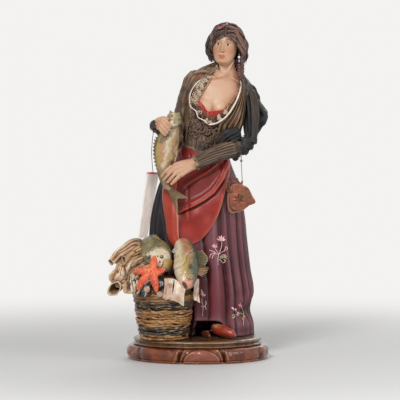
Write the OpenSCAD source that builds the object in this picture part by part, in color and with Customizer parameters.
// Painted terracotta figurine of a fish seller beside a full basket, in millimetres.
// The figure faces -Y, stands on +Z, and the origin is the middle of the plinth's underside.

/* [Plinth] */
// Width of the oval plinth, left to right
plinth_w = 174; // [170:1:180]
// Depth of the oval plinth, front to back
plinth_d = 152; // [148:1:158]
// Height of the lower plinth band
band_h = 18; // [16:1:20]
// Height of the ground disc on top of the band
ground_h = 10; // [9:1:11]
// Radius of the firing vent under the figure
vent_r = 9; // [6:0.5:11]
// Number of carved notches round the band
notch_count = 9; // [7:1:12]
// Turn that puts two grooves beside the front middle
notch_turn = 106.6; // [0:360]

/* [Skirt] */
// Thickness of the hollow skirt wall
skirt_wall = 5; // [4:0.5:6]
// Number of folds round the skirt
fold_count = 17; // [12:1:20]
// Depth of the folds at the hem
fold_depth = 3.2; // [1.5:0.1:4]
// Thickness of the apron
apron_t = 3.4; // [2.5:0.1:4]

/* [Torso] */
// Thickness of the bodice over the body
bodice_t = 2.4; // [2:0.1:2.6]
// Thickness of the jacket over the bodice
jacket_t = 3.6; // [3:0.1:4]
// Radius of the peg that carries the torso in the skirt
waist_peg_r = 14; // [12:0.5:15]
// Radius of the neck
neck_r = 10.2; // [9.5:0.1:10.6]

/* [Basket] */
// Outer radius of the basket at its rim
basket_top_r = 36; // [34:0.5:36.5]
// Outer radius of the basket at its foot
basket_foot_r = 28; // [26:0.5:29]
// Height of the basket from the ground to its rim
basket_h = 56; // [54:0.5:58]
// Number of woven rows in the basket wall
weave_rows = 13; // [10:1:16]
// Thickness of the basket wall
basket_wall_t = 5; // [4:0.5:6]

/* [Purse and tag] */
// Width of the purse
purse_w = 31; // [28:1:32]
// Height of the purse
purse_h = 27; // [24:1:28]
// Radius of the wire that the purse hangs on
wire_r = 0.5; // [0.4:0.05:0.6]
// Length of the card tag
tag_l = 82; // [70:1:84]
// Width of the card tag
tag_w = 30; // [26:1:32]
// Thickness of the folded card
tag_t = 1.2; // [0.8:0.1:1.4]
// Radius of the thread that the tag hangs on
thread_r = 0.4; // [0.4:0.05:0.5]

/* [Hidden] */

// Gap left between glued pieces
gap = 0.15;
ground_z = band_h + ground_h;
basket_at = [-41.5, -30];
rim_z = ground_z + basket_h;
vent_at = [6, 20];

// Colours of the painted clay
earth = "saddlebrown";
plum = "#6b3a48";
red = "firebrick";
skin_tone = "#d9a987";
umber = "#54402f";
straw = "#a8783c";
ivory = "#d8c7a8";
olive = "#7d7550";

// Profile of the skirt: height, centre x and y, half width, half depth
skirt_rows = [
    [28, 9, 20, 63, 43], [60, 8, 20, 61, 42], [100, 6, 19, 60, 41], [150, 3, 18, 58, 39],
    [180, 3, 17, 55, 37], [215, 4, 15, 47, 32], [240, 6, 12, 36, 26], [260, 7, 10, 29, 22]
];
// Profile of the body: height, centre x and y, half width, half depth, sideways tilt
torso_rows = [
    [258, 7, 10, 22, 16, 0], [280, 11, 7, 24, 18, -0.05], [300, 16, 4, 28, 19, -0.12],
    [318, 22, 4, 32, 18, -0.18], [335, 28, 5, 35, 16, -0.22], [346, 31, 6, 31, 13, -0.22],
    [353, 34.5, 4.5, 19.5, 13, -0.14], [358, 36.5, 3.5, 13, 12.6, -0.06]
];
// Profile of the head: height, centre x and y, half width, half depth
head_rows = [
    [364.5, 32, -10, 3, 3], [367, 32.4, -8.5, 8, 8.5], [373, 33.2, -5, 12.4, 13.5], [381, 34.4, -2, 15, 17.5],
    [390, 35, 0, 16, 19], [400, 35.6, 1, 16, 19], [408, 36, 2, 12.5, 15], [413, 36, 2.5, 4, 5]
];
hair_rows = [
    [365, 38, 12, 12, 9], [371, 37, 8, 22, 14], [380, 36, 5, 24.5, 20], [392, 36, 3.5, 25, 22.5],
    [402, 36, 3.5, 22.5, 22], [410, 35.5, 3.5, 17, 17.5], [416, 35, 3.5, 6, 7]
];
neck_foot = [38, 4, 349];
neck_top = [35, 1, 374];
bust_at = [[7, -9, 309], [29, -9, 306]];
bust_size = [12, 12, 13];

// Limbs: share of the length, x, y, z, and the two half widths
right_upper_rows = [
    [0, 0, 6, 353, 4, 5], [0.1, -5, 6, 346, 9.5, 10.5], [0.4, -15, 6, 322, 9.5, 10.5],
    [0.75, -22, 5, 296, 9, 10], [1, -26, 3, 272, 8, 8.5]
];
right_forearm_rows = [
    [0, -26, 2, 268, 7, 7], [0.35, -33, -12, 273.5, 8, 8], [0.7, -43.5, -28, 284, 7, 7],
    [1, -50, -37.5, 290, 6.4, 6.4]
];
left_upper_rows = [
    [0, 62, 8, 345, 5, 6], [0.15, 64, 7, 336, 9, 10.5], [0.5, 62, 2, 305, 9.5, 11],
    [0.8, 58, -4, 278, 11, 12], [1, 56, -8, 263, 9, 9]
];
left_forearm_rows = [
    [0, 55, -10, 264, 11, 11], [0.3, 38, -20, 261.5, 11.5, 11.5], [0.65, 17, -31, 254, 10, 10],
    [1, -4, -41, 245.5, 8, 8]
];
hanging_sleeve_rows = [
    [0, 62, 16, 350, 3, 3], [0.12, 66, 15, 341, 8, 9], [0.4, 69, 17, 318, 10, 12],
    [0.65, 73, 18, 300, 15, 12], [0.85, 70, 16, 284, 11, 9], [1, 62, 14, 268, 5, 5]
];
braid_rows = [
    [0, 55, -2, 367, 3, 3], [0.2, 57, -5, 361, 4.4, 4], [0.6, 56, -10, 348, 4, 4],
    [1, 54.5, -13, 336, 2.4, 2.4]
];
front_shoe_rows = [
    [0, 18, -13, 41, 4, 4], [0.2, 21, -15, 38, 6.5, 7], [0.6, 36, -24, 35, 6.4, 7],
    [0.9, 48, -31, 32, 3.6, 5], [1, 52, -33, 31, 1.6, 2]
];
back_shoe_rows = [
    [0, 7, -9, 33, 3, 2.4], [0.3, 9, -12, 33, 4.2, 4], [0.8, 14, -21, 32, 3.2, 3.6], [1, 16, -25, 31, 1.6, 2]
];
held_fish_rows = [
    [0, -27, -37, 313, 2, 2], [0.08, -28, -38, 308, 6, 5], [0.2, -31, -39, 297, 8.5, 7],
    [0.35, -35, -40, 281, 11.5, 8],
    [0.55, -39, -40, 260, 13.5, 8.5], [0.75, -41.5, -40, 241, 9.5, 6.5], [0.9, -41.5, -40, 228, 5, 4.5],
    [1, -39, -40, 219, 3.4, 3]
];
back_fish_rows = [
    [0, -70, 4, 132, 3, 4], [0.3, -61, -8, 134, 8, 10], [0.6, -52, -20, 130, 10.5, 12],
    [0.85, -45, -33, 121, 8.5, 10.5], [1, -42, -40, 114, 3, 4]
];
big_fish_rows = [
    [0, -22, -14, 142, 3, 4], [0.25, -16, -25, 135, 9.5, 11], [0.55, -12.5, -42, 121, 11, 13.5],
    [0.8, -15, -57, 106, 9, 11.5], [1, -19, -67, 94, 4, 6]
];
clam_places = [[-33, -64, 97, 6.5], [-28, -68, 90, 5.5], [-41, -70, 86.6, 4.5]];
mussel_places = [[-72, -62, 89, 30], [-64, -68, 86, -20], [-47, -66, 99, 60]];

// Forearm direction at the right wrist, which the tag's loop turns about
wrist_dir = unit([-24, -34, 22]);
wrist_at = [-54, -43, 294];
cuff_r = 7;
cuff_l = 7;
loop_r = 7.48;

// Purse hangs from a bar under the elbow ribbon
bar_at = [54, -17, 247];
bar_r = 0.65;
purse_at = [56, -17, 198];
purse_tilt = 16;
eye_r = bar_r + 0.05 + wire_r;

// Tag card: middle of its top edge, lean in the picture plane, turn about the upright
tag_top = [-55, -33, 234];
tag_lean = 9;
tag_turn = 62;

function mix(a, b, t) = a + (b - a) * t;
function unit(v) = v / norm(v);
function centre(points) = [for (i = [0:2]) [for (p = points) p[i]] * [for (p = points) 1] / len(points)];

// Smooth row of values at t, through rows that start with their own t
function row_at(rows, t) =
    let(
        last = len(rows) - 1,
        i = max([for (k = [0:last - 1]) if (k == 0 || rows[k][0] <= t) k]),
        b = rows[i],
        c = rows[i + 1],
        a = rows[max(i - 1, 0)],
        d = rows[min(i + 2, last)],
        h = c[0] - b[0],
        u = (t - b[0]) / h,
        slope_b = (c - a) * h / (c[0] - a[0]),
        slope_c = (d - b) * h / (d[0] - b[0])
    )
    b * (2 * pow(u, 3) - 3 * pow(u, 2) + 1) + slope_b * (pow(u, 3) - 2 * pow(u, 2) + u)
    + c * (3 * pow(u, 2) - 2 * pow(u, 3)) + slope_c * (pow(u, 3) - pow(u, 2));

// Closed solid through rings of equal point counts, each end filled to its middle
module skin(rings) {
    n = len(rings[0]);
    m = len(rings);
    points = concat([for (r = rings) each r], [centre(rings[0]), centre(rings[m - 1])]);
    sides = [
        for (i = [0:m - 2], j = [0:n - 1])
            let(a = i * n + j, b = i * n + (j + 1) % n) each [[a, a + n, b + n], [a, b + n, b]]
    ];
    first_end = [for (j = [0:n - 1]) [m * n, j, (j + 1) % n]];
    last_end = [for (j = [0:n - 1]) [m * n + 1, (m - 1) * n + (j + 1) % n, (m - 1) * n + j]];
    polyhedron(points, concat(sides, first_end, last_end));
}

// Closed solid between two grids of points that face each other
module slab(face, back) {
    rows = len(face);
    cols = len(face[0]);
    count = rows * cols;
    points = concat([for (r = face) each r], [for (r = back) each r]);
    function at(i, j) = i * cols + j;
    panels = [
        for (i = [0:rows - 2], j = [0:cols - 2])
            let(a = at(i, j), b = at(i, j + 1), c = at(i + 1, j + 1), d = at(i + 1, j))
            each [
                [a, b, c], [a, c, d],
                [a + count, c + count, b + count], [a + count, d + count, c + count]
            ]
    ];
    rim = concat(
        [for (j = [0:cols - 1]) at(0, j)], [for (i = [1:rows - 1]) at(i, cols - 1)],
        [for (j = [cols - 2:-1:0]) at(rows - 1, j)], [for (i = [rows - 2:-1:1]) at(i, 0)]
    );
    edges = [
        for (k = [0:len(rim) - 1])
            let(a = rim[k], b = rim[(k + 1) % len(rim)]) each [[a, a + count, b + count], [a, b + count, b]]
    ];
    polyhedron(points, concat(panels, edges));
}

// One closed clay solid with its cuts
module one_piece() resize([0, 0, 0]) children();

function oval_ring(row, z, n, g = 0) = [
    for (k = [0:n - 1])
        let(a = 360 * k / n, x = (row[3] + g) * cos(a), tilt = len(row) > 5 ? row[5] : 0)
        [row[1] + x, row[2] + (row[4] + g) * sin(a), z + tilt * x]
];

function tangent(path, i) = unit(path[min(i + 1, len(path) - 1)] - path[max(i - 1, 0)]);

// Rings round a limb: rows hold share, x, y, z, half width across side, half width along side
function limb_rings(rows, steps, n, side, g = 0) =
    let(
        at = [for (k = [0:steps]) row_at(rows, k / steps)],
        path = [for (r = at) [r[1], r[2], r[3]]]
    )
    [
        for (k = [0:steps])
            let(t = tangent(path, k), u = unit(cross(side, t)), v = cross(t, u))
            [
                for (j = [0:n - 1])
                    path[k] + u * (at[k][4] + g) * cos(360 * j / n) + v * (at[k][5] + g) * sin(360 * j / n)
            ]
    ];

module limb(rows, steps = 12, n = 16, side = [0, 1, 0], g = 0) skin(limb_rings(rows, steps, n, side, g));

module ball(at, size, n = 20, g = 0) {
    half = n / 2;
    skin([
        for (i = [1:half - 1])
            let(b = -90 + 180 * i / half)
            [
                for (k = [0:n - 1])
                    at + [
                        (size[0] + g) * cos(b) * cos(360 * k / n),
                        (size[1] + g) * cos(b) * sin(360 * k / n),
                        (size[2] + g) * sin(b)
                    ]
            ]
    ]);
}

// Turns +Z to a direction
module aim(direction) {
    flat = norm([direction[0], direction[1]]);
    rotate([0, atan2(flat, direction[2]), atan2(direction[1], direction[0])]) children();
}

module rod(a, b, r) translate(a) aim(b - a) cylinder(r = r, h = norm(b - a), $fn = 24);

// Runs through the figure from front to back, over an outline in x and z
module through_front(outline, y_from, y_to)
    translate([0, y_to, 0]) rotate([90, 0, 0]) linear_extrude(y_to - y_from) polygon(outline);

// The plinth
function notch(a) =
    let(step = 360 / notch_count, off = abs((a + step / 2) % step - step / 2)) exp(-pow(off / 2.5, 2));

function plinth_outline(share, cut) = [
    for (k = [0:119])
        let(a = 3 * k, r = share - cut * notch(a + notch_turn))
        [plinth_w / 2 * r * cos(a), plinth_d / 2 * r * sin(a)]
];

module plinth() {
    foot_h = 3;
    color(earth) difference() {
        union() {
            linear_extrude(foot_h) polygon(plinth_outline(0.985, 0.03));
            translate([0, 0, foot_h]) linear_extrude(band_h - foot_h) polygon(plinth_outline(1, 0.045));
        }
        translate([vent_at[0], vent_at[1], -1]) cylinder(r = vent_r, h = band_h + 2, $fn = 48);
    }
}

module ground() {
    // Share of the height, and how far the step bulges past its foot
    steps = [[0, 0], [0.15, 2.5], [0.45, 4], [0.75, 3.4], [1, 1]];
    inset = 11;
    color("#6e5a3c") one_piece() difference() {
        skin([
            for (s = steps)
                let(out = s[1] - inset, z = band_h + gap + s[0] * (ground_h - gap))
                oval_ring([0, 0, 0, plinth_w / 2 + out, plinth_d / 2 + out], z, 44)
        ]);
        translate([vent_at[0], vent_at[1], 0]) cylinder(r = vent_r, h = ground_z + 1, $fn = 48);
    }
}

// The skirt and what lies on it
function press_r(z, g) =
    let(full = basket_top_r + 2.5 - g, above = z - rim_z - 4) above < 0 ? full : mix(full, 0, above / 40);

// Keeps a point clear of the basket that the skirt is pressed against
function pressed(p, g) =
    let(away = [p[0], p[1]] - basket_at, far = norm(away), need = press_r(p[2], g))
    far >= need ? p : let(moved = basket_at + away * need / far) [moved[0], moved[1], p[2]];

function skirt_point(a, z, g) =
    let(
        row = row_at(skirt_rows, z),
        depth = fold_depth * mix(1, 0.12, (z - ground_z) / (skirt_rows[7][0] - ground_z)),
        fold = depth * cos(fold_count * a + 50 * sin(2 * a) + z / 3),
        knee = 5 * exp(-pow((a - 283) / 14, 2) - pow((z - 105) / 45, 2)),
        out = fold + knee + g
    )
    pressed([row[1] + (row[3] + out) * cos(a), row[2] + (row[4] + out) * sin(a), z], g);

skirt_n = 68;
skirt_levels = 12;

// The skirt's outside moved outward by g, between two of its levels
module skirt_form(g = 0, low = 0, high = skirt_levels) skin([
    for (i = [low:high])
        let(z = mix(ground_z + gap, skirt_rows[7][0], i / skirt_levels))
        [for (k = [0:skirt_n - 1]) skirt_point(360 * k / skirt_n, z, g)]
]);

module skirt_inside() skin([
    for (z = [ground_z - 1, 90, 150, 200, 232, 248])
        [for (k = [0:27]) skirt_point(360 * k / 28, z, -skirt_wall - fold_depth / 2)]
]);

foot_arch = [[2, 0], [42, 0], [42, 38], [38, 47], [28, 53], [14, 53], [5, 46], [2, 38]];

module skirt() color(plum) one_piece() difference() {
    skirt_form();
    skirt_inside();
    translate([7, 10, 240]) cylinder(r = waist_peg_r + gap, h = 30, $fn = 32);
    through_front(foot_arch, -60, 8);
}

// A cloth laid on the skirt, trimmed to an outline seen from the front
module on_skirt(outline, thick, y_from, y_to) difference() {
    intersection() {
        skirt_form(thick, 4);
        through_front(outline, y_from, y_to);
    }
    skirt_form(gap, 3);
}

panel_outline = [[-75, 128], [-38, 128], [-38, 226], [-45, 226], [-70, 170]];
apron_outline = [
    [-26, 254], [20, 259], [38, 250], [41, 236], [37, 212], [30, 188], [21, 170], [9, 154], [-4, 144],
    [-15, 141], [-20, 158], [-20, 200], [-34, 226]
];
flap_outline = [
    [-20.6, 200], [-20.6, 158], [-15.8, 140], [-24, 137], [-33, 146], [-37.4, 170], [-37.4, 200], [-34, 222]
];

module dark_panel() color("#26242c") one_piece() on_skirt(panel_outline, 2.6, -30, 60);

module apron() color(red) one_piece() difference() {
    on_skirt(apron_outline, apron_t, -60, 10);
    held_fish_form(0.4);
}

module apron_flap() color("#b8462f") one_piece() difference() {
    on_skirt(flap_outline, apron_t + 0.8, -60, 10);
    held_fish_form(0.4);
}

// Flat sole on the ground
module shoe(rows) one_piece() difference() {
    limb(rows, 10, 14, [0, 0, 1]);
    translate([-100, -100, 0]) cube([200, 200, ground_z + gap]);
}

module front_shoe() color("#b5482f") shoe(front_shoe_rows);

module back_shoe() color("#7d3030") shoe(back_shoe_rows);

// The torso and its clothes
waist_z = skirt_rows[7][0] + gap;
torso_levels = 10;
torso_n = 28;
bodice_levels = 6;

// The waist is level, so its row keeps no tilt
function waist_ring(row, z, g) = oval_ring([for (k = [0:4]) row[k]], z, torso_n, g);

// The body moved outward by g up to one of its levels, with its foot lowered by drop
module torso_skin(g = 0, high = torso_levels, drop = 0) skin([
    for (i = [drop > 0 ? -1 : 0:high])
        let(z = mix(waist_z, 358, max(i, 0) / torso_levels), row = row_at(torso_rows, z))
        i > 0 ? oval_ring(row, z, torso_n, g) : waist_ring(row, i < 0 ? z - drop : z, g)
]);

module bust_form(g = 0) for (at = bust_at) ball(at, bust_size, 14, g);

module body_form(g = 0, drop = 2) {
    torso_skin(g, torso_levels, drop);
    bust_form(g);
}

module neck_form(g = 0) rod(neck_foot, neck_top, neck_r + g);

neckline = [
    [14, 361], [4, 345], [-4, 330], [-8, 316], [0, 304], [10, 298], [20, 294],
    [31, 298], [41, 307], [50, 321], [55, 336], [54, 346], [46, 362]
];
neck_opening = concat(neckline, [[46, 380], [14, 380]]);
front_gap = [[-9, 317], [0, 303], [-8, 280], [-16, 250], [24, 250], [31, 285], [41, 308]];

module torso() color(skin_tone) one_piece() difference() {
    union() {
        body_form(0, 0);
        translate([7, 10, 248 + gap]) cylinder(r = waist_peg_r, h = 20, $fn = 32);
    }
    neck_form(gap);
}

module bodice() color("#5d4a3a") one_piece() difference() {
    union() {
        torso_skin(bodice_t, bodice_levels);
        bust_form(bodice_t);
    }
    body_form(gap);
    through_front(neck_opening, -60, 3.1);
}

chemise_band = [
    [-7, 316], [0.6, 304.8], [10.2, 299], [20, 295], [30.8, 299], [39.6, 307],
    [31, 304.6], [20, 304], [12, 304], [2, 315]
];

module chemise() color("#b23a30") one_piece() intersection() {
    difference() {
        bust_form(1.6);
        body_form(gap);
    }
    through_front(chemise_band, -60, 3.1);
}

// Point on the front of the clothes at x and z
function front_y(x, z, g) =
    let(
        level = row_at(torso_rows, min(z, 357)),
        row = row_at(torso_rows, z - level[5] * (x - level[1])),
        across = min(1, abs(x - row[1]) / (row[3] + g)),
        flat = row[2] - (row[4] + g) * sqrt(1 - across * across),
        busts = [
            for (at = bust_at)
                let(u = pow((x - at[0]) / (bust_size[0] + g), 2) + pow((z - at[2]) / (bust_size[2] + g), 2))
                u < 1 ? at[1] - (bust_size[1] + g) * sqrt(1 - u) : flat
        ]
    )
    min(concat([flat], busts));

function edge_path(points, g) = [for (p = points) [p[0], front_y(p[0], min(p[1], 352), g), p[1]]];

lace_edge = [for (i = [0:11]) neckline[i]];

// A round cord along a path on the clothes
module piping(path, r, sides) skin([
    for (i = [0:len(path) - 1])
        let(t = tangent(path, i), u = unit(cross([0, 1, 0], t)), v = cross(t, u))
        [for (j = [0:sides - 1]) path[i] + (u * cos(360 * j / sides) + v * sin(360 * j / sides)) * r]
]);

module lace_form(g = 0) piping(edge_path(lace_edge, 3), 2.4 + g, 8);

module lace_trim() color(ivory) one_piece() difference() {
    lace_form();
    body_form(gap);
    torso_skin(bodice_t + gap, bodice_levels, 2);
    bust_form(bodice_t + gap);
    neck_form(gap);
}

module jacket() color(umber) one_piece() difference() {
    union() {
        torso_skin(bodice_t + jacket_t, torso_levels - 1);
        bust_form(bodice_t + jacket_t);
    }
    torso_skin(bodice_t + gap, torso_levels, 2);
    bust_form(bodice_t + gap);
    through_front(neck_opening, -60, 3.1);
    through_front(front_gap, -60, 3.1);
    neck_form(3);
    lace_form(gap);
    right_upper_form(gap);
    left_upper_form(gap);
}

module clothes_form(g = 0) {
    torso_skin(bodice_t + jacket_t + g, torso_levels - 1, 2);
    body_form(g);
    bust_form(bodice_t + jacket_t + g);
}

// Arms and hands
module right_upper_form(g = 0) limb(right_upper_rows, 9, 12, [0, 1, 0], g);

module right_upper_sleeve() color(umber) one_piece() difference() {
    right_upper_form();
    body_form(gap);
    torso_skin(bodice_t + gap, bodice_levels, 2);
    lace_form(gap);
    held_fish_form(gap);
}

module right_forearm_form(g = 0) limb(right_forearm_rows, 7, 12, [0, 0, 1], g);

module right_forearm_sleeve() color(umber) one_piece() difference() {
    right_forearm_form();
    right_upper_form(gap);
    held_fish_form(gap);
    skirt_form(gap);
    translate(wrist_at - wrist_dir * (cuff_l + gap)) aim(wrist_dir) cylinder(r = 20, h = 30, $fn = 32);
}

module right_cuff() color("#3a2a20") translate(wrist_at - wrist_dir * cuff_l) aim(wrist_dir)
    cylinder(r = cuff_r, h = cuff_l - gap, $fn = 48);

// A finger through its joints, thick at the knuckle
module finger(points, r) for (i = [0:len(points) - 2]) hull() {
    translate(points[i]) sphere(r = r * (1 - 0.1 * i), $fn = 8);
    translate(points[i + 1]) sphere(r = r * (1 - 0.1 * (i + 1)), $fn = 8);
}

module palm(a, b, r) hull() for (p = concat(a, b)) translate(p) sphere(r = r, $fn = 8);

module right_hand() color(skin_tone) one_piece() difference() {
    union() {
        palm([[-54, -45, 292], [-54, -43, 297]], [[-46, -52, 287], [-45, -52, 296]], 4.2);
        for (i = [0:3]) translate([-i, 0, -3.8 * i])
            finger([[-45, -53, 296], [-37, -55, 291], [-30.5, -52, 286]], 2.5);
        finger([[-50, -46, 300], [-42, -50, 302.5], [-35, -50, 299]], 2.6);
    }
    held_fish_form(gap);
    translate(wrist_at - wrist_dir * 40) aim(wrist_dir) cylinder(r = 20, h = 40, $fn = 32);
}

module left_upper_form(g = 0) limb(left_upper_rows, 9, 12, [0, 1, 0], g);

module left_upper_sleeve() color("#33302d") one_piece() difference() {
    left_upper_form();
    body_form(gap);
    torso_skin(bodice_t + gap, bodice_levels, 2);
    lace_form(gap);
}

// Ends of the torn ribbon: from, to, and the radius at each
ribbon_ends = [
    [[56, -8, 263], [72, -6, 266], 6.5, 4.5], [[54, -10, 259], [47, -13, 250], 6, 3.5],
    [[56, -12, 258], [60, -13, 252], 5, 4]
];

module elbow_ribbon() color("#23211f") one_piece() difference() {
    for (e = ribbon_ends) hull() {
        translate(e[0]) sphere(r = e[2], $fn = 10);
        translate(e[1]) sphere(r = e[3], $fn = 10);
    }
    left_upper_form(gap);
    left_forearm_form(gap);
    skirt_form(apron_t + 0.5);
    hanging_sleeve_form(gap);
    staple_form(gap);
    translate(bar_at) rotate([90, 0, 0]) cylinder(r = 5, h = 8, center = true, $fn = 24);
}

module left_forearm_form(g = 0) limb(left_forearm_rows, 9, 12, [0, 0, 1], g);

module left_forearm_sleeve() color("#7a5f42") one_piece() difference() {
    left_forearm_form();
    left_upper_form(gap);
    clothes_form(gap);
    skirt_form(apron_t + 0.5);
    staple_form(gap);
    translate([-13.5, -60, 200]) cube([9, 60, 80]);
}

module left_hand() color(skin_tone) one_piece() difference() {
    union() {
        palm([[-5, -42, 243.5], [-5, -41, 247.5]], [[-26, -49, 237], [-34, -49.5, 242]], 4.4);
        for (i = [0:3]) translate([3.7 * i, 0, -2.2 * i])
            finger([[-36, -50, 242], [-42.5, -53.5, 234.5], [-45, -53, 226.5]], 2.3);
        finger([[-16, -44, 238], [-24, -45, 229], [-29, -45, 222]], 2.5);
    }
    held_fish_form(gap);
    left_forearm_form(gap);
    skirt_form(apron_t + 1.3);
    tag_sweep_keep_out();
}

// Room for the tag to swing past the finger tips
module tag_sweep_keep_out() translate([-75, -60, 150]) cube([25, 45, 90]);

module hanging_sleeve_form(g = 0) {
    rings = limb_rings(hanging_sleeve_rows, 9, 24, [0, 1, 0], g);
    skin([
        for (i = [0:len(rings) - 1])
            let(mid = centre(rings[i]))
            [for (k = [0:23]) mid + (rings[i][k] - mid) * (1 + 0.09 * cos(6 * 15 * k) * min(1, i / 3))]
    ]);
}

module hanging_sleeve() color("#3b342e") one_piece() difference() {
    hanging_sleeve_form();
    left_upper_form(gap);
    clothes_form(gap);
}

cord_edge = [for (i = [6:11]) neckline[i] + [1.5, -3]];

module jacket_piping() color("#e6d6c8") one_piece() difference() {
    piping(edge_path(cord_edge, bodice_t + jacket_t + 1.2), 1.1, 8);
    clothes_form(gap);
    lace_form(gap);
    left_upper_form(gap);
}

// Head and hair
module head_form(g = 0)
    skin([for (i = [0:11]) let(z = mix(364.5, 413, i / 11)) oval_ring(row_at(head_rows, z), z, 20, g)]);

module head() color(skin_tone) one_piece() {
    head_form();
    neck_form();
    // Nose
    hull() {
        translate([32, -18, 388]) sphere(r = 2, $fn = 12);
        translate([30.6, -21.5, 381]) sphere(r = 2.2, $fn = 12);
    }
}

module hair_form(g = 0)
    skin([
        for (i = [0:9])
            let(z = mix(365, 416, i / 9))
            let(ring = oval_ring(row_at(hair_rows, z), z, 24, g), mid = centre(ring))
            [for (k = [0:23]) mid + (ring[k] - mid) * (1 + 0.025 * cos(6 * 15 * k))]
    ]);

module hair() color("#4a3026") one_piece() difference() {
    hair_form();
    head_form(gap);
    neck_form(gap);
    ball([31, -20, 383], [14.5, 18, 19], 16);
    clothes_form(gap);
}

module braid() color("#4a3026") one_piece() difference() {
    rings = limb_rings(braid_rows, 12, 8, [0, 1, 0]);
    skin([
        for (i = [0:12])
            let(mid = centre(rings[i])) [for (p = rings[i]) mid + (p - mid) * (1 + 0.16 * cos(90 * i))]
    ]);
    hair_form(gap);
    clothes_form(gap);
    lace_form(gap);
    neck_form(gap);
    left_upper_form(gap);
    piping(edge_path(cord_edge, bodice_t + jacket_t + 1.2), 1.1 + gap, 8);
}

module hair_bow() color("#b5707a") one_piece() difference() {
    for (side = [-1, 1]) hull() {
        translate([24, -12, 411]) sphere(r = 2, $fn = 10);
        translate([24 + 5 * side, -12 + side, 411.5 + 2 * side]) sphere(r = 2.6, $fn = 10);
    }
    hair_form(gap);
}

module earrings() color("gainsboro") for (at = [[51.2, -15.5, 375], [16.6, -16.5, 377]]) {
    translate(at) sphere(r = 1.7);
    translate(at - [0, 0, 4.6]) sphere(r = 1.3);
    translate(at - [0, 0, 3.4]) cylinder(r = 0.4, h = 2, $fn = 24);
}

// The fish in the hands
module held_fish_form(g = 0) limb(held_fish_rows, 15, 14, [0, 1, 0], g);

tail_outline = [
    [-41, 224], [-36, 221], [-29, 211], [-14, 208], [-21, 201], [-24, 190], [-28, 188], [-33, 203]
];
dorsal_outline = [[-44, 281], [-50, 274], [-53.6, 258], [-52.4, 242], [-48, 237], [-44, 262]];

module held_fish() color(olive) one_piece() difference() {
    union() {
        held_fish_form();
        through_front(tail_outline, -41.5, -39.5);
        through_front(dorsal_outline, -41, -39.4);
    }
    ball([-26, -42, 316], [3, 3, 4], 12);
}

// The basket and its catch
// Depth of the rim roll below the top of the basket
rim_drop = 4;

// Inside of the wall, a plain cone
function basket_in(z) =
    mix(basket_foot_r, basket_top_r, (z - ground_z - gap) / (basket_h - rim_drop - gap)) - basket_wall_t;

function basket_r(z) = let(u = (z - ground_z) / basket_h) mix(basket_foot_r, basket_top_r, pow(u, 0.6));

wall_foot = 3;
wall_outline = concat(
    [
        for (i = [0:weave_rows * 4])
            let(u = i / (weave_rows * 4), z = mix(ground_z + gap, rim_z - rim_drop, u))
            [basket_r(z) - 0.9 + 0.9 * abs(sin(45 * i)), z]
    ],
    [[basket_in(rim_z - rim_drop), rim_z - rim_drop], [basket_in(ground_z + gap), ground_z + gap]]
);

module in_basket() translate([basket_at[0], basket_at[1], 0]) children();

module basket_base() color(straw) in_basket() translate([0, 0, ground_z + gap])
    cylinder(r = basket_foot_r - basket_wall_t - gap, h = wall_foot, $fn = 48);

module basket_wall() color(straw) in_basket() rotate_extrude($fn = 64) polygon(wall_outline);

rim_r = 2;

module basket_rim() color("#7a5426") in_basket() translate([0, 0, rim_z - rim_r + 0.1])
    rotate_extrude($fn = 64) translate([basket_top_r - rim_r, 0]) circle(r = rim_r, $fn = 24);

function round_ring(r, z, n) = oval_ring([0, 0, 0, r, r], z, n);

module mound_form(g = 0) in_basket() skin(concat(
    [for (z = [ground_z + 4, rim_z - 5]) round_ring(basket_in(z) - 0.4 + g, z, 28)],
    [for (b = [0:18:72]) round_ring(30 * cos(b) + g, rim_z - 4 + 28 * sin(b) + g, 28)]
));

module catch_mound() color("#54402f") one_piece() difference() {
    mound_form();
    skirt_form(gap);
}

module back_fish_form(g = 0) limb(back_fish_rows, 10, 12, [0, 0, 1], g);

module big_fish_form(g = 0) limb(big_fish_rows, 12, 14, [1, 0, 0], g);

big_fin_outline = [[-3, 137], [8, 131], [11, 124], [4, 116], [-2, 118]];

module rim_form(g = 0) in_basket() translate([0, 0, rim_z - rim_r + 0.1])
    rotate_extrude($fn = 48) translate([basket_top_r - rim_r, 0]) circle(r = rim_r + g, $fn = 16);

// Room for the basket wall under what hangs over the rim
module wall_form() in_basket()
    cylinder(r1 = basket_foot_r, r2 = basket_top_r + gap, h = rim_z - 3, $fn = 48);

module big_fish() color(olive) one_piece() difference() {
    union() {
        big_fish_form();
        through_front(big_fin_outline, -44, -41.6);
    }
    mound_form(gap);
    rim_form(gap);
    skirt_form(apron_t + 1.3);
    // Open mouth
    ball([-20, -71, 92], [3.4, 5, 3.4], 12);
}

module back_fish() color(olive) one_piece() difference() {
    back_fish_form();
    mound_form(gap);
    big_fish_form(gap);
    skirt_form(3.2);
}

// Sacking that hangs over the left of the rim in pinched folds
sack_root = [[-58, -8, 141], [-60, -26, 136], [-56, -40, 124], [-52, -52, 110]];
sack_edge = [[-106, -14, 120], [-111, -30, 104], [-103, -50, 90], [-76, -68, 86]];
sack_folds = 6;
sack_t = 5;

// Rows that start with the share of the way along a list of points
function shares(points, more = []) =
    let(last = len(points) - 1) [for (i = [0:last]) concat([i / last], points[i], more)];

function along(points, t) = let(r = row_at(shares(points), t)) [r[1], r[2], r[3]];

function sack_point(u, v, lift) =
    let(
        p = mix(along(sack_root, v), along(sack_edge, v), u),
        out = unit([-0.55, -0.5, 0.65]),
        ridge = 2.6 * sin(180 * u) * cos(360 * sack_folds * v) + 7 * sin(180 * u) * (1 - u)
    )
    p + out * (ridge + lift);

function sack_grid(lift) = [for (i = [0:6]) [for (j = [0:24]) sack_point(i / 6, j / 24, lift)]];

module sack_form(g = 0) slab(sack_grid(sack_t + g), sack_grid(-g));

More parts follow.
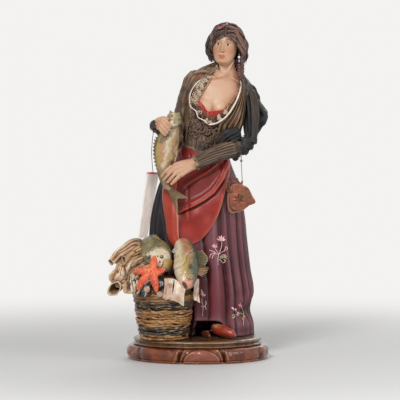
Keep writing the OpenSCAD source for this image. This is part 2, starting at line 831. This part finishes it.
module sacking() color("#a58a68") one_piece() difference() {
    sack_form();
    mound_form(gap);
    rim_form(gap);
    back_fish_form(gap);
    wall_form();
}

star_at = [-53, -66, 107];
star_arm = 24;

// Five tapering arms, from the flat underside to the ridge on top: share of the reach, and height
star_rings = [[0.88, -2.4], [1, -0.4], [0.72, 2.4], [0.2, 4.2]];

module star_form(g = 0) translate(star_at) rotate([68, 0, -8]) skin([
    for (s = star_rings)
        [
            for (k = [0:29])
                let(tip = abs((k % 6) - 3) / 3, r = s[0] * mix(6.5, star_arm, pow(tip, 1.6)) + g)
                [r * cos(12 * k + 90), r * sin(12 * k + 90), s[1] + g * sign(s[1])]
        ]
]);

module starfish() color("#c94a30") one_piece() difference() {
    star_form();
    mound_form(gap);
    rim_form(gap);
    back_fish_form(gap);
    big_fish_form(gap);
    sack_form(gap);
}

module mussel_form(r) for (m = mussel_places)
    translate([m[0], m[1], m[2]]) rotate([70, m[3], 0]) scale([1, 0.6, 0.55]) sphere(r = r, $fn = 12);

module mussels() color("#20242e") one_piece() difference() {
    mussel_form(6);
    mound_form(gap);
    rim_form(gap);
    back_fish_form(gap);
    big_fish_form(gap);
    sack_form(gap);
    star_form(gap);
    wall_form();
}

module clams() color("#9c8468") one_piece() difference() {
    for (c = clam_places)
        translate([c[0], c[1], c[2]]) rotate([65, 0, 20]) scale([1, 0.8, 0.45]) sphere(r = c[3], $fn = 12);
    mound_form(gap);
    rim_form(gap);
    big_fish_form(gap);
    star_form(gap);
    mussel_form(6.4);
    strip_form(gap);
    wall_form();
}

// Pale strips that hang over the front of the rim: turn round the basket, lean and length of each
strips = [[20, -7, 20], [42, -8, 17]];
strip_w = 9;
strip_t = 1.4;

module strip_form(g = 0) for (s = strips) in_basket() rotate([0, 0, s[0]])
    translate([0, -basket_top_r - strip_t, rim_z - s[2] / 2 + 8]) rotate([4, s[1], 0])
        cube([strip_w + 2 * g, strip_t + 2 * g, s[2] + 2 * g], center = true);

module fillet_strips() color(ivory) one_piece() difference() {
    strip_form();
    rim_form(gap);
    big_fish_form(gap);
    mound_form(gap);
    skirt_form(gap);
    wall_form();
}

// The purse on its wire
module staple_form(g = 0) {
    translate(bar_at) rotate([90, 0, 0]) cylinder(r = bar_r + g, h = 5, center = true, $fn = 24);
    for (side = [-1, 1]) translate(bar_at + [0, 2.2 * side, 0]) cylinder(r = 0.5 + g, h = 9, $fn = 24);
}

module purse_staple() color("dimgray") staple_form();

module in_purse() translate(purse_at) rotate([0, purse_tilt, 0]) children();

module purse_slab(w, h, t, r) rotate([90, 0, 0]) linear_extrude(t, center = true) hull() {
    for (x = [-w / 2 + r, w / 2 - r]) translate([x, -h / 2 + r]) circle(r = r, $fn = 32);
    for (x = [-w / 2 + 9, w / 2 - 9]) translate([x, h / 2 - 3]) circle(r = 3, $fn = 32);
}

module purse_body() color("#7d4a2c") in_purse() translate([-2, 0.8, -2])
    purse_slab(purse_w - 4, purse_h, 9.6, 6);

module purse_flap() color("#9c5f3d") in_purse() translate([1, -5.2, 2])
    purse_slab(purse_w, purse_h - 4, 2, 7);

// A ring of wire or leather in the picture plane
module upright_ring(at, ring_r, r) translate(at) rotate([90, 0, 0]) rotate_extrude($fn = 48)
    translate([ring_r, 0]) circle(r = r, $fn = 24);

module purse_strap_loops() color("#54372a") in_purse()
    for (x = [-13, -6.6]) upright_ring([x, -1.2, purse_h / 2 - 1], 2.2, 0.8);

module purse_wire() color("dimgray") {
    upright_ring(bar_at, eye_r, wire_r);
    rod(bar_at - [0, 0, eye_r + 0.2], purse_at + [0, 0, purse_h / 2 - 4], wire_r);
}

// The tag on its thread
module in_tag() translate(tag_top) rotate([0, tag_lean, 0]) rotate([0, 0, tag_turn]) children();

module tag_card() color("#ead9cc") in_tag() translate([0, 0, -tag_l / 2]) difference() {
    cube([tag_w, tag_t, tag_l], center = true);
    translate([0, 0, tag_l / 2 - 4]) rotate([90, 0, 0]) cylinder(r = 1.2, h = 4, center = true, $fn = 24);
}

// Route of the thread from the loop on the wrist to the top edge of the card
thread_route = [
    [-54.2, -43.4, 285.5], [-55.8, -39.6, 272], [-56.6, -36.6, 258], [-56, -34.4, 246], [-55, -33, 234.1]
];

module tag_thread() color("#3a3434") limb(shares(thread_route, [thread_r, thread_r]), 16, 8, [0, 1, 0]);

module tag_loop() color("#3a3434") translate(wrist_at - wrist_dir * cuff_l / 2) aim(wrist_dir)
    rotate_extrude($fn = 64) translate([loop_r, 0]) circle(r = thread_r, $fn = 24);

plinth();
ground();
skirt();
dark_panel();
apron();
apron_flap();
front_shoe();
back_shoe();
torso();
bodice();
chemise();
lace_trim();
jacket();
hanging_sleeve();
jacket_piping();
right_upper_sleeve();
right_forearm_sleeve();
right_cuff();
right_hand();
left_upper_sleeve();
elbow_ribbon();
left_forearm_sleeve();
left_hand();
head();
hair();
braid();
hair_bow();
earrings();
held_fish();
basket_base();
basket_wall();
basket_rim();
catch_mound();
sacking();
back_fish();
big_fish();
starfish();
mussels();
clams();
fillet_strips();
purse_staple();
purse_body();
purse_flap();
purse_strap_loops();
purse_wire();
tag_card();
tag_thread();
tag_loop();
